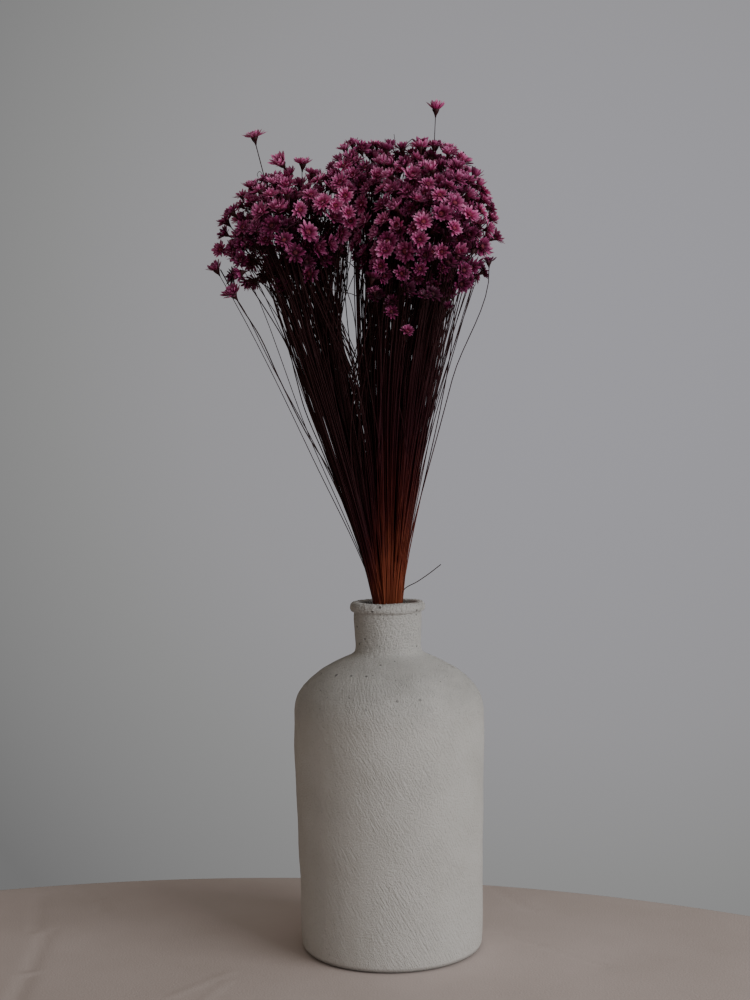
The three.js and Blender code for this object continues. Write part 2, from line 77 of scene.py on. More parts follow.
def linear(code):
    """An sRGB hex colour as linear red, green, blue and an alpha of 1: each value v is v / 12.92 where it is
    dark, and ((v + 0.055) / 1.055) to the power 2.4 where it isn't."""
    values = [int(code[i:i + 2], 16) / 255 for i in (1, 3, 5)]
    return tuple(v / 12.92 if v <= 0.04045 else ((v + 0.055) / 1.055) ** 2.4 for v in values) + (1.0,)


def feed(node, inputs):
    """Gives each of these sockets of the node its value, or links it to the output that feeds it."""
    for socket, value in inputs.items():
        if isinstance(value, bpy.types.NodeSocket):
            node.id_data.links.new(value, node.inputs[socket])
        else:
            node.inputs[socket].default_value = value


def add(tree, kind, inputs=None, out=0, **settings):
    """One output of a new node of this kind. settings are the node's own properties."""
    node = tree.nodes.new("ShaderNode" + kind)
    for name, value in settings.items():
        setattr(node, name, value)
    feed(node, inputs or {})
    return node.outputs[out]


def rescaled(tree, value, old, new=(0, 1)):
    """The value moved from the range old to the range new, and held inside it."""
    return add(tree, "MapRange", {"Value": value, "From Min": old[0], "From Max": old[1],
                                  "To Min": new[0], "To Max": new[1]})


def colour_at(tree, value, stops):
    """The colour at this value on a ramp through the stops, each a place and a hex colour."""
    colour = add(tree, "ValToRGB", {"Fac": value})
    elements = colour.node.color_ramp.elements
    while len(elements) < len(stops):
        elements.new(0.5)
    for element, (place, code) in zip(elements, stops):
        element.position, element.color = place, linear(code)
    return colour


room = bpy.data.worlds.new("room")
bpy.context.scene.world = room
room.use_nodes = True
tree = room.node_tree
tree.nodes.remove(tree.nodes["Background"])
outward = add(tree, "TexCoord", out="Generated")
backgrounds = []
for side, sides_from, light in ((WINDOW_SIDE, ROOM_FROM, ROOM_LIGHT), (WALL_SIDE, WALL_FROM, WALL_LIGHT)):
    towards = add(tree, "VectorMath", {0: outward, 1: side}, "Value", operation="DOT_PRODUCT")
    colour = colour_at(tree, rescaled(tree, towards, sides_from), light)
    backgrounds.append(add(tree, "Background", {"Color": colour}))
seen = add(tree, "LightPath", out="Is Camera Ray")
both = add(tree, "MixShader", {0: seen, 1: backgrounds[0], 2: backgrounds[1]})
feed(tree.nodes["World Output"], {"Surface": both})

window_data = bpy.data.lights.new("window", "AREA")
window_data.size = WINDOW_SIZE
window_data.energy = WINDOW_POWER
window = bpy.data.objects.new("window", window_data)
window_place = Vector(WINDOW_SIDE).normalized() * WINDOW_DISTANCE
facing = window_place.to_track_quat("Z", "Y").to_matrix().to_4x4()
window.matrix_world = Matrix.Translation(window_place + Vector((0, 0, WINDOW_ABOVE))) @ facing
bpy.context.scene.collection.objects.link(window)


# Table
# A round table with a thin pale cloth drawn flat over it. It only carries the vase and isn't part of the
# object. The cloth shows a few soft creases and its weave.
TABLE_RADIUS = 0.543
TABLE_MIDDLE = (-0.0948, -0.410)
TABLE_EDGE = 9 * MM  # radius of its rounded rim
TABLE_CHAMFER = 4 * MM  # under the rim
TABLE_DROP = 30 * MM
TABLE_RINGS = 260
TABLE_COLUMNS = 720
CREASES = [  # the ends in mm, the width and the height, below 0 for a dent, in mm
    (((-209, 94), (-196, 30)), 3, -0.7), (((-190, 34), (-184, -32)), 3, -0.8),
    (((-184, -32), (-180, -90)), 4, -0.8), (((-197, 120), (-173, 86)), 2.5, -0.8),
    (((-173, 86), (-165, 64)), 2.5, -0.6), (((59, 104), (80, 52)), 1.6, -0.5),
    (((57, 16), (77, -7)), 1.4, -0.6), (((77, -7), (107, -40)), 1.4, -0.6),
    (((-82, -54), (-95, -91)), 1.5, 0.4), (((-81, -40), (-107, -73)), 1.5, 0.4)]


def made(name, points, parts, flat=()):
    """A mesh object from points and (array of faces, material) pairs, smooth but for the flat materials."""
    mesh = bpy.data.meshes.new(name)
    corners = np.concatenate([faces.reshape(-1) for faces, _ in parts])
    counts = [len(faces) for faces, _ in parts]
    sizes = np.repeat([faces.shape[1] for faces, _ in parts], counts)
    mesh.vertices.add(len(points))
    mesh.vertices.foreach_set("co", np.asarray(points, np.float32).reshape(-1))
    mesh.loops.add(len(corners))
    mesh.loops.foreach_set("vertex_index", corners.astype(np.int32))
    mesh.polygons.add(len(sizes))
    mesh.polygons.foreach_set("loop_start", (np.cumsum(sizes) - sizes).astype(np.int32))
    for _, material in parts:
        if material.name not in mesh.materials:
            mesh.materials.append(material)
    slots = [mesh.materials.find(material.name) for _, material in parts]
    mesh.polygons.foreach_set("material_index", np.repeat(slots, counts))
    smooth = [material not in flat for _, material in parts]
    mesh.polygons.foreach_set("use_smooth", np.repeat(smooth, counts))
    mesh.update(calc_edges=True)
    mesh.validate()
    piece = bpy.data.objects.new(name, mesh)
    bpy.context.scene.collection.objects.link(piece)
    return piece


def band_faces(rows, columns):
    """Quads between the rows of a grid whose columns close round. They face out where the columns turn
    anticlockwise, seen from beyond the last row."""
    row, column = np.meshgrid(np.arange(rows - 1), np.arange(columns), indexing="ij")
    here, after = row * columns + column, row * columns + (column + 1) % columns
    return np.stack([here, after, after + columns, here + columns], -1).reshape(-1, 4)


def lathe(radii, heights, angles, relief=0):
    """Points, quads and end triangles of a closed round shape. Each row of its grid is a ring with this
    radius and height in metres, at these angles, and the first and the last are drawn in to a point. Faces
    turn outwards where the outline runs up the outside. relief moves the points that way."""
    outline = np.stack([radii, heights])
    along = np.concatenate([[0], np.cumsum(np.linalg.norm(np.diff(outline, axis=1), axis=0))])
    run = np.gradient(outline, along, axis=1)
    run /= np.linalg.norm(run, axis=0)
    r = radii[:, None] + relief * run[1][:, None]
    z = np.broadcast_to(heights[:, None] - relief * run[0][:, None], angles.shape)
    grid = np.stack([r * np.cos(angles), r * np.sin(angles), z], -1)
    rows, columns = angles.shape[0] - 2, angles.shape[1]
    poles = np.array([(0, 0, heights[0]), (0, 0, heights[-1])])
    first, after = np.arange(columns), (np.arange(columns) + 1) % columns
    last, pole = (rows - 1) * columns, np.full(columns, rows * columns)
    fans = np.concatenate([np.stack([pole, after, first], -1),
                           np.stack([pole + 1, last + first, last + after], -1)])
    return np.concatenate([grid[1:-1].reshape(-1, 3), poles]), band_faces(rows, columns), fans


def new_material(name):
    """A new material, its node tree and its shader."""
    material = bpy.data.materials.new(name)
    material.use_nodes = True
    return material, material.node_tree, material.node_tree.nodes["Principled BSDF"]


def noise(tree, place, scale, detail=2, roughness=0.5, distortion=0):
    """Cloudy noise between 0 and 1 at this place, with scale clouds to a metre."""
    return add(tree, "TexNoise", {"Vector": place, "Scale": scale, "Detail": detail, "Roughness": roughness,
                                  "Distortion": distortion})


cloth, tree, shader = new_material("washed_cotton_cloth")  # plain weave: dull, pinkish beige, slightly uneven
cloth_place = add(tree, "TexCoord", out="Object")
weave = noise(tree, cloth_place, 900)  # threads about 1 mm apart
patches = noise(tree, cloth_place, 14, 4)  # uneven patches about 70 mm wide
cloth_tone = colour_at(tree, patches, [(0.3, "#d2c4be"), (0.7, "#dccec9")])
weave_bump = add(tree, "Bump", {"Height": weave, "Distance": 0.0003, "Strength": 0.5})
feed(shader, {"Base Color": cloth_tone, "Normal": weave_bump, "Roughness": 0.9, "Specular IOR Level": 0.25})

rim_turn = np.linspace(0, np.pi / 2, 8)
table_r = np.concatenate([[0, TABLE_RADIUS - TABLE_CHAMFER, TABLE_RADIUS],
                          TABLE_RADIUS + TABLE_EDGE * (np.cos(rim_turn) - 1),
                          np.linspace(TABLE_RADIUS - TABLE_EDGE, 0, TABLE_RINGS)[1:]])
table_z = np.concatenate([[-TABLE_DROP, -TABLE_DROP, TABLE_CHAMFER - TABLE_DROP],
                          TABLE_EDGE * (np.sin(rim_turn) - 1), np.zeros(TABLE_RINGS - 1)])
table_angles = np.linspace(0, 2 * np.pi, TABLE_COLUMNS + 1)[:-1]
table_points, table_quads, table_fans = lathe(
    table_r, table_z, np.broadcast_to(table_angles, (len(table_r), TABLE_COLUMNS)))
table_points[:, :2] += TABLE_MIDDLE
for ends, width, height in CREASES:
    start, end = np.array(ends) * MM
    share = (table_points[:, :2] - start) @ (end - start) / ((end - start) @ (end - start))
    nearest = start + np.clip(share, 0, 1)[:, None] * (end - start)
    away = np.linalg.norm(table_points[:, :2] - nearest, axis=1) / (width * MM)
    on_top = table_points[:, 2] > -1e-6
    table_points[:, 2] += np.where(on_top, height * MM * np.exp(-away ** 2), 0)
table = made("table_cloth", table_points, [(table_quads, cloth), (table_fans, cloth)])


# Vase
# A bottle vase of fired clay with a rolled lip. A coat of plaster mixed with fine sand was brushed on by
# hand, so slanting bristle strokes, grit and small pits stay in the dry surface. It is dull and off-white.
VASE_OUTLINE = np.array([  # radius and height in mm, from under the base up the outside and down the inside
    (0, 0), (30, 0), (44, 0), (46.2, 0.6), (47.4, 2.2), (47.8, 9), (48.1, 33), (49.2, 70), (50.2, 108),
    (50, 124.6), (49.4, 128.6), (48.1, 132.8), (45.3, 137), (41.2, 141.3), (35.8, 145.6), (27.8, 149.8),
    (23.4, 151.8), (19.6, 153.4), (17.7, 155), (17.2, 158), (17.7, 168), (17.9, 174.6), (17.6, 175.7),
    (17.9, 176.3), (19.1, 176.3), (19.9, 177.8), (19.7, 179.8), (18.8, 181.0), (17.3, 181.4), (15.5, 181.2),
    (14.8, 180.6), (14.6, 179), (14.4, 168), (14, 154), (17, 150), (25, 146.2), (33, 142.4), (40, 137),
    (44.2, 131), (45.5, 124), (45.7, 108), (44.2, 33), (43.8, 12), (41, 7.2), (36, 6), (0, 6)], float)
OUTLINE_STEP = 0.1
OUTLINE_SOFTNESS = 0.4
VASE_COLUMNS = 480
ROW_HEIGHTS = np.array([  # the length of the grid's faces at these distances along the outline, all in mm
    (0, 7), (44, 0.9), (53, 2), (200, 1.9), (216, 1), (238, 0.5), (254, 0.5), (272, 3), (290, 9)])
BODY_RADIUS = 50
STROKE_SLOPE = math.tan(math.radians(60))  # strokes fall to the right this steeply, as seen from the front
STROKES_END = 150  # the height up to which the strokes lean
NECK_ALONG = (196, 218)  # where the body ends and the neck begins
LIP_ALONG, LIP_HALF = 246, 5
COAT_ENDS = 250.8  # along the outline, just inside the mouth
RELIEF_SHARE = np.array([(0, 0), (46.5, 0), (50, 1), (253, 1), (258, 0.2), (300, 0)])  # along the outline
# Each relief's spread, the width and length of its waves, all in mm, their number and how far they may slant
STROKES = (0.01, 2.0, 7, 90, 0.4)
GRIT = (0.014, 2.3, 2.6, 70, 0.8)
NECK_GRIT = (0.04, 9, 5, 60, 1.4)
LUMPS = (0.02, 9, 9, 30, 0.8)
WOBBLE = (0.12, 60, 60, 12, 0.5)
LIP_LUMPS = (0.08, 3.4, 3, 60, 0.8)
COAT_EDGE = (0.5, 4, 4, 20, 0.8)
BRUSHED = (1.6, 45, 40, 12, 0.6)  # above 0 the brush left strokes, below 0 grit
SEED = 8


def smooth_outline(corners):
    """The outline through these corners, resampled in even steps and then averaged with a bell curve, and the
    distance of each point along it. Its ends stay on the axis."""
    along = np.concatenate([[0], np.cumsum(np.linalg.norm(np.diff(corners, axis=0), axis=1))])
    fine = np.arange(0, along[-1], OUTLINE_STEP)
    line = np.stack([np.interp(fine, along, corners[:, i]) for i in (0, 1)], 1)
    reach = int(3 * OUTLINE_SOFTNESS / OUTLINE_STEP)
    bell = np.exp(-0.5 * (np.arange(-reach, reach + 1) * OUTLINE_STEP / OUTLINE_SOFTNESS) ** 2)
    padded = np.concatenate([line[reach:0:-1] * (-1, 1), line, line[-2:-reach - 2:-1] * (-1, 1)])
    return fine, np.stack([np.convolve(padded[:, i], bell / bell.sum(), "valid") for i in (0, 1)])


def waves(random, turn, along, spread, width, length, count, slant):
    """A random relief of mean 0, the sum of count cosine waves. Each has a whole number of waves round the
    vase, about width mm apart, and waves about length mm long down the columns, from which their crests may
    slant."""
    total = np.zeros(np.broadcast_shapes(turn.shape, along.shape))
    number = np.round(2 * np.pi * BODY_RADIUS / (width * random.uniform(0.75, 1.6, count)))
    for n in number * random.choice((-1, 1), count):
        pull = n / BODY_RADIUS * slant * random.normal() + random.normal() * 2 * np.pi / length
        total += np.cos(n * turn + pull * along + random.uniform(0, 2 * np.pi))
    return spread * total / math.sqrt(count / 2)


random = np.random.default_rng(SEED)
outline_s, outline = smooth_outline(VASE_OUTLINE)
row_number = np.cumsum(OUTLINE_STEP / np.interp(outline_s, *ROW_HEIGHTS.T))
row_s = np.interp(np.linspace(row_number[0], row_number[-1], int(row_number[-1])), row_number, outline_s)
vase_r, vase_z = (np.interp(row_s, outline_s, values) for values in outline)

# The grid's columns lean with the strokes, so that a stroke is a row of long faces.
column = np.linspace(0, 2 * np.pi, VASE_COLUMNS + 1)[None, :-1]
turn = column - (np.clip(vase_z, 0, STROKES_END) / STROKE_SLOPE / BODY_RADIUS)[:, None]
down = row_s[:, None]
upper = np.interp(down, NECK_ALONG, (0, 1))  # 0 on the body, 1 on the neck
brushed = 1 / (1 + np.exp(-waves(random, turn, down, *BRUSHED)))
strokes = waves(random, column, down, *STROKES)
grit = waves(random, column, down, *GRIT)
relief = (1 - upper) * (strokes * brushed + grit * (1.3 - brushed))
relief += upper * waves(random, turn, down, *NECK_GRIT)
relief += waves(random, turn, down, *LUMPS) + waves(random, turn, down, *WOBBLE)
relief += waves(random, turn, down, *LIP_LUMPS) * np.exp(-((down - LIP_ALONG) / LIP_HALF) ** 2)
relief *= np.interp(row_s, *RELIEF_SHARE.T)[:, None] * MM
vase_points, vase_quads, vase_fans = lathe(vase_r * MM, vase_z * MM, turn, relief)


def maths(tree, operation, *values):
    """What this operation makes of the values."""
    return add(tree, "Math", dict(enumerate(values)), operation=operation)


def mixed(tree, share, first, second):
    """The first colour where share is 0, the second where it is 1, and between them a mix."""
    return add(tree, "Mix", {0: share, 6: first, 7: second}, 2, data_type="RGBA")


coat, tree, shader = new_material("brushed_sand_plaster")  # matt lime plaster: off-white and gritty, with painted shade in its pits, in the hollows of its sand and round its foot
coat_place = add(tree, "TexCoord", out="Object")
coat_z = add(tree, "SeparateXYZ", {0: coat_place}, "Z")
high_up = rescaled(tree, coat_z, (0.118, 0.16))  # 0 on the body, 1 on the neck
low_down = maths(tree, "SUBTRACT", 1.0, high_up)
sand = noise(tree, coat_place, 1100, 3, 0.7)  # grit 1 mm wide
# Bristle marks about 1 mm apart and 6 mm long, with finer ones in them
stroke_place = add(tree, "Attribute", out="Vector", attribute_name="stroke_place")
bristles = maths(tree, "SUBTRACT", noise(tree, stroke_place, 950, 3, 0.6, 0.25), 0.5)
where = noise(tree, coat_place, 45)  # deeper in patches about 20 mm wide
bristle_height = maths(tree, "MULTIPLY", bristles, rescaled(tree, where, (0.35, 0.62), (0.25, 1.15)))
# The neck and the shoulder have more grit than strokes
gritty = maths(tree, "MULTIPLY_ADD", high_up, 2.0, 1.0)
coat_height = maths(tree, "MULTIPLY_ADD", sand, gritty, bristle_height)
coat_bump = add(tree, "Bump", {"Height": coat_height, "Distance": 0.001, "Strength": 1.0})
mottle = noise(tree, coat_place, 38, 6, 0.6)  # clouds about 25 mm wide, with specks down to under 1 mm
pale = maths(tree, "MULTIPLY_ADD", high_up, 0.5, mottle)
coat_tone = colour_at(tree, pale, [(0.3, "#d9d7d2"), (0.7, "#e1dfdb"), (1, "#f8f6f2")])
# Painted shade in the hollows of the sand, darker on the neck
darkest_hollow_shade = maths(tree, "MULTIPLY_ADD", high_up, -0.3, 0.8)
painted_hollow_shade = rescaled(tree, sand, (0.27, 0.43), (darkest_hollow_shade, 1))
# Pits on the neck and the shoulder as painted shade: dark spots up to 1.6 mm wide, in a third of the places 4
# mm apart
pits = add(tree, "TexVoronoi", {"Vector": coat_place, "Scale": 260})
which = add(tree, "SeparateColor", {0: pits.node.outputs["Color"]})
pit_edge = maths(tree, "SUBTRACT", pits, rescaled(tree, which, (0.66, 1.0), (0, 0.2)))
painted_pit_shade = maths(tree, "MAXIMUM", rescaled(tree, pit_edge, (-0.03, 0.05), (0.3, 1)), low_down)
painted_foot_shadow = rescaled(tree, coat_z, (0.0004, 0.003), (0.35, 1))  # painted contact shadow round the foot, 3 mm high
# All of the coat's darkening is painted shade, mixed towards a dark grey-brown
coat_painted_shade = maths(tree, "MULTIPLY", maths(tree, "MULTIPLY", painted_hollow_shade, painted_pit_shade), painted_foot_shadow)
coat_colour = mixed(tree, coat_painted_shade, linear("#302c27"), coat_tone)
feed(shader, {"Base Color": coat_colour, "Normal": coat_bump, "Roughness": 0.92, "Specular IOR Level": 0.2})

clay_in_painted_shade, tree, shader = new_material("raw_clay_with_painted_shade")  # bare clay inside the mouth: grey-brown and dusty, painted near black for the shade inside the mouth
dust = noise(tree, add(tree, "TexCoord", out="Object"), 250, 4)  # clouds 4 mm wide, with specks in them
feed(shader, {"Base Color": colour_at(tree, dust, [(0.3, "#2c2622"), (0.7, "#3f3731")]), "Roughness": 0.95})


def store(piece, name, values):
    """Gives each point of a piece a number, or a vector, of its own under this name."""
    kind, key = ("FLOAT", "value") if values.ndim == 1 else ("FLOAT_VECTOR", "vector")
    attribute = piece.data.attributes.new(name, kind, "POINT")
    attribute.data.foreach_set(key, values.astype(np.float32).reshape(-1))


edge = row_s[1:-2, None] + waves(random, turn[1:-2], down[1:-2], *COAT_EDGE)
coated = (edge < COAT_ENDS).reshape(-1)
vase_parts = [(vase_quads[coated], coat), (vase_quads[~coated], clay_in_painted_shade), (vase_fans, clay_in_painted_shade)]
vase = made("plastered_vase", vase_points, vase_parts)
# The bristle marks are drawn out 6 times along the strokes on the body, and 10 times round the neck
wide = BODY_RADIUS * MM * (1 - 0.9 * upper)
far = np.cumsum(np.gradient(down, axis=0) * (0.17 + 0.83 * upper), axis=0) * MM
drawn_out = np.stack([wide * np.cos(column), wide * np.sin(column), np.broadcast_to(far, turn.shape)], -1)
store(vase, "stroke_place", np.concatenate([drawn_out[1:-1].reshape(-1, 3), np.zeros((2, 3))]))
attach(vase, "root")
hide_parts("vase")


# Flowers
# Each is one dried plant part: a thin wiry stem, a dark funnel of scales, and rings of stiff papery petals
# round a small disc. They were dyed, so the petals are mauve-pink, and the stems are maroon above and rust
# below. They stand loose in the vase. The flowers of one tuft are one piece, in the place of its CAD node.
FLOOR_Z = 6.6
WAIST_Z = 161  # where the tie gathers the stems
SPLAY = 1.6  # how much wider they stand on the floor than in the mouth
WAIST = 0.93  # and how wide in the tie
STEM_RADIUS = 0.33
STEM_SIDES = 3
STEM_TAPER = (1.08, 0.8)
STEM_SIZES = (0.8, 1.15)
BOW = 0.9  # the spread in mm of how far a stem wavers
BUNCH_SHARE = 0.87  # of the CAD bunch's width in the mouth, for the finer stems
BUNCH_MIDDLE = (0.3, 0.0)
SOLID_RIM = 12  # points round the rim of a solid head
SOLID_TIPS = 0.8  # of its radius: those of them further out are petal tips
SOLID_PROUD = 0.2  # how far its middle stands proud, as such a share
SOLID_FLATNESS = 1.35  # width over height of the round that its tips reach
HEADS_ABOVE = 300
CALYX_BELOW = 0.8  # how far under its middle a head meets its stem, as such a share
HEAD_GROWTH = 1.27  # the petals reach this much further than the blunt solids
PETAL_RINGS = [  # petals, length as a share of the head's radius, extra rise in degrees, half width as such
    (13, 1.0, 2, 0.128), (11, 0.93, 24, 0.12), (8, 0.74, 50, 0.105)]
PETAL_STATIONS = np.array([0.0, 0.36, 0.68, 0.88, 1.0])
PETAL_WIDTHS = np.array([0.45, 0.9, 1.0, 0.55, 0.0])
PETAL_START = 0.2  # from the head's axis
PETAL_LENGTHS = (0.78, 1.06)  # the range of a petal's length, as a share of its ring's
PETAL_HALVES = (0.8, 1.12)  # and that of its half width
PETAL_TURN, PETAL_RISE, PETAL_LEAN = 0.09, 0.15, 0.3  # how much these vary
PETAL_CURL = (0.16, 0.14)  # mean and spread
STEEPEST = 1.45
CALYX = np.array([(0.06, -0.84), (0.11, -0.62), (0.24, -0.36), (0.38, -0.08), (0.28, 0.04)])
CALYX_SIDES = 7
DISC = np.array([(0.2, -0.06), (0.22, 0.05), (0.15, 0.12), (0.05, 0.15)])
DISC_SIDES = 8
YOUNG_ROUNDS = 2  # young flowers beside each grown one
YOUNG_TRIES = 60  # places tried for each
YOUNG_SIZE = (3.9, 4.9)
YOUNG_RISE = (0.25, 0.8)
YOUNG_ROOM = 0.72  # least distance between two middles, as a share of the radii together
YOUNG_BEHIND = 3.0  # how far behind its neighbour it may stand, in radii
YOUNG_ABOVE = 0.2  # how far in mm its middle may stand out beyond its grown neighbour's
YOUNG_TURN = 0.35  # how far it faces another way
YOUNG_ASIDE = (0.35, 1.1)  # mm from its stem to its neighbour's, in the mouth and at the crook
NEIGHBOURS = 24
BARE = 100  # stems that have lost their heads and end among the others
BARE_ASIDE = (0.5, 1.3, 2.5)  # mm from theirs, in the mouth, at the crook and at the end
BETWEEN = 90  # and between the lobes lower down
GAP_X = -17
FANNED = 38  # and fanned out to the right
MORE = [  # flowers that the CAD has no room for: where the head is, then the way it faces
    ((-79, -9, 344.3), (-0.5, -0.55, 0.67)), ((-22, -10, 413.5), (-0.4, -0.5, 0.8)),
    ((-19, -12, 418.5), (-0.3, -0.4, 0.9)), ((-15, -8, 422), (-0.2, -0.3, 1)),
    ((-24, -19, 403), (-0.4, -0.8, 0.5)), ((-19.5, -20, 408), (-0.2, -0.8, 0.6)),
    ((-21.5, -26, 398), (-0.2, -0.9, 0.3)), ((-16.5, -19, 412), (-0.2, -0.7, 0.7)),
    ((-26, -12, 409), (-0.5, -0.5, 0.7)), ((-15, -25, 402), (-0.1, -0.9, 0.4)),
    ((-19, -28, 391), (-0.1, -1, 0.2)), ((-24, -28, 386), (-0.2, -1, 0.1)),
    ((-17.5, -30, 382), (0, -1, 0.1)), ((25, -27, 345), (0.2, -0.9, -0.2)),
    ((9.3, -30, 350.5), (0.1, -1, 0)), ((18.4, -32, 352.5), (0.2, -1, 0.1)),
    ((30.5, -25, 354), (0.3, -0.9, 0)), ((3.8, -34, 335.5), (-0.1, -0.9, 0.2)),
    ((43.5, -22, 348), (0.6, -0.7, -0.2)), ((38, -24, 359), (0.5, -0.8, 0.1)),
    ((12, -33, 359), (0, -1, 0.2)), ((25, -30, 361), (0.3, -0.9, 0.2)),
    ((1, -34, 362), (-0.2, -1, 0.1)), ((-1.5, -33, 354), (-0.2, -0.9, 0.1))]
MORE_SIZE = (3.6, 4.7)
MORE_RISE = (0.2, 0.9)
BENT = [  # the head near the first place has a stem that bends at the second
    ((-79, -9, 344.3), (-58.5, -5, 308)), ((55.2, -10, 359), (35.6, -4.4, 297.8))]
LEFT_LOBE = -25  # the heads left of this x are the left lobe
DRAWN_LEFT = (362, 12, 0.07)  # the height from which it is drawn in, more so over this far, by this share
DRAWN_RIGHT = (375, 15, 4.5)  # and the right lobe by up to this many mm, from its middle outwards
RIGHT_LOBE = (25, 50)  # x of its middle and its side
LOWEST = 338
ALONE = 13  # a grown head this far from every other has no young one beside it
LOW_LEFT = (-60, 372)  # nor has one left of the first and under the second, or under LOWEST
LOW_RIGHT = (44, 366)  # or right of the first and under the second
STRAYS = [  # heads that stand alone: their place, how they move, their growth and their petals' rise
    ((-67, -2, 431), (-3.5, 0, -2.4), 1.08, 0.35), ((-55, -8, 417), (0.5, -3, -5.2), 1.3, 1.0),
    ((-43, 0, 417), (0, -4, -4), 1.1, 0.5), ((29, -4, 443), (0.4, 0, -2.5), 1.25, 0.9),
    ((-75, -6, 403), (3.5, -6, -3.5), 1.2, 0.8), ((-89, 4, 358), (0, 0, 1), 1.3, 0.7),
    ((-79, -9, 344.3), (0, 0, 0), 1.3, 0.5)]
DIP = (-42, -24, 410)  # between these two x, no young head stands above this height
UNDER_LEFT = (388, 26)  # below this height a head is painted darker for the shade of its lobe, more so over this depth
UNDER_RIGHT = (378, 24)
TONES = (0.1, 1.25)  # of a head's petals, from deep to bright
DARKEST = -0.6  # the least tone, in painted shade
SHADE, INNER_PAINTED_SHADE, PETAL_TONES = 0.8, 0.3, 0.3  # how much the painted shade low in a lobe, the painted shade of young heads deep in the bunch, and each petal change it
LOW_HEADS, LOW_SHARE = 358, 0.82  # the right lobe's heads under this height have this share of their size


def unit(vectors):
    """The same directions with a length of 1."""
    return vectors / np.linalg.norm(vectors, axis=-1, keepdims=True)


def flowers_of(node):
    """The flowers whose solids make up a CAD node, read from its merged mesh as arrays. A head's middle is
    the only vertex high up with 12 neighbours: those are its rim, and rings of three lead down from it to the
    calyx, the crook and the root of its stem."""
    raw = np.zeros(len(node.data.vertices) * 3, np.float32)
    node.data.vertices.foreach_get("co", raw)
    corners = np.zeros(len(node.data.loops), np.int32)
    node.data.loops.foreach_get("vertex_index", corners)
    points, index = np.unique(np.round(raw.reshape(-1, 3) / MM, 3), axis=0, return_inverse=True)
    triangles = index.reshape(-1)[corners].reshape(-1, 3)
    joined = np.zeros((len(points), len(points)), bool)
    joined[triangles, np.roll(triangles, 1, axis=1)] = True
    joined |= joined.T
    top = np.nonzero((joined.sum(1) == SOLID_RIM) & (points[:, 2] > HEADS_ABOVE))[0]
    rim = joined[top]
    calyx = (rim.astype(int) @ joined > 0) & ~rim & ~np.eye(len(points), dtype=bool)[top]
    crook = (calyx.astype(int) @ joined > 0) & ~calyx & ~rim
    root = (crook.astype(int) @ joined > 0) & ~crook & ~calyx
    base, crook, root = (mask @ points / mask.sum(1)[:, None] for mask in (calyx, crook, root))
    size = np.linalg.norm(points[top] - base, axis=1)
    axis = (points[top] - base) / size[:, None]
    head = points[top] - SOLID_PROUD * size[:, None] * axis
    out = points[None] - head[:, None]
    up = (out * axis[:, None]).sum(-1)
    level = out - up[..., None] * axis[:, None]
    reach = np.linalg.norm(level, axis=-1)
    tips = rim & (np.hypot(reach, up * SOLID_FLATNESS) > SOLID_TIPS * size[:, None])
    rise = np.arctan2((up * tips).sum(1) * SOLID_FLATNESS, (reach * tips).sum(1))
    side = unit(level[np.arange(len(top)), np.argmax(tips, axis=1)])
    return {"root": root, "crook": crook, "head": head, "axis": axis, "side": side, "size": size,
            "rise": rise}


def together(first, second):
    """The flowers of both, with what is known of both."""
    return {key: np.concatenate([first[key], second[key]]) for key in first if key in second}


def drawn_in(points):
    """The points of the bunch with its outer shoulders drawn in: the left lobe's by a share of how far out
    they are, and the right one's by up to a few mm."""
    x, _, z = points.T
    from_left, over_left, share = DRAWN_LEFT
    from_right, over_right, most = DRAWN_RIGHT
    left = np.clip((z - from_left) / over_left, 0, 1) * share * np.maximum(LEFT_LOBE - x, 0)
    right = np.clip((z - from_right) / over_right, 0, 1) * np.interp(x, RIGHT_LOBE, (0, 1)) * most
    return points + np.stack([left - right, 0 * x, 0 * x], -1)


def crowd(grown):
    """The distances between the heads, and the numbers of those that stand among others."""
    x, _, z = grown["head"].T
    gaps = np.linalg.norm(grown["head"][:, None] - grown["head"][None], axis=-1) + np.eye(len(x)) * 99
    low_left = (x < LOW_LEFT[0]) & (z < LOW_LEFT[1])
    low_right = (x > LOW_RIGHT[0]) & (z < LOW_RIGHT[1])
    return gaps, np.nonzero((gaps.min(1) < ALONE) & ~((z < LOWEST) | low_left | low_right))[0]


def scattered(places, spread, up, random):
    """The places, each moved at random by about spread, and by up times that along z."""
    return places + random.normal(0, spread, places.shape) * (1, 1, up)


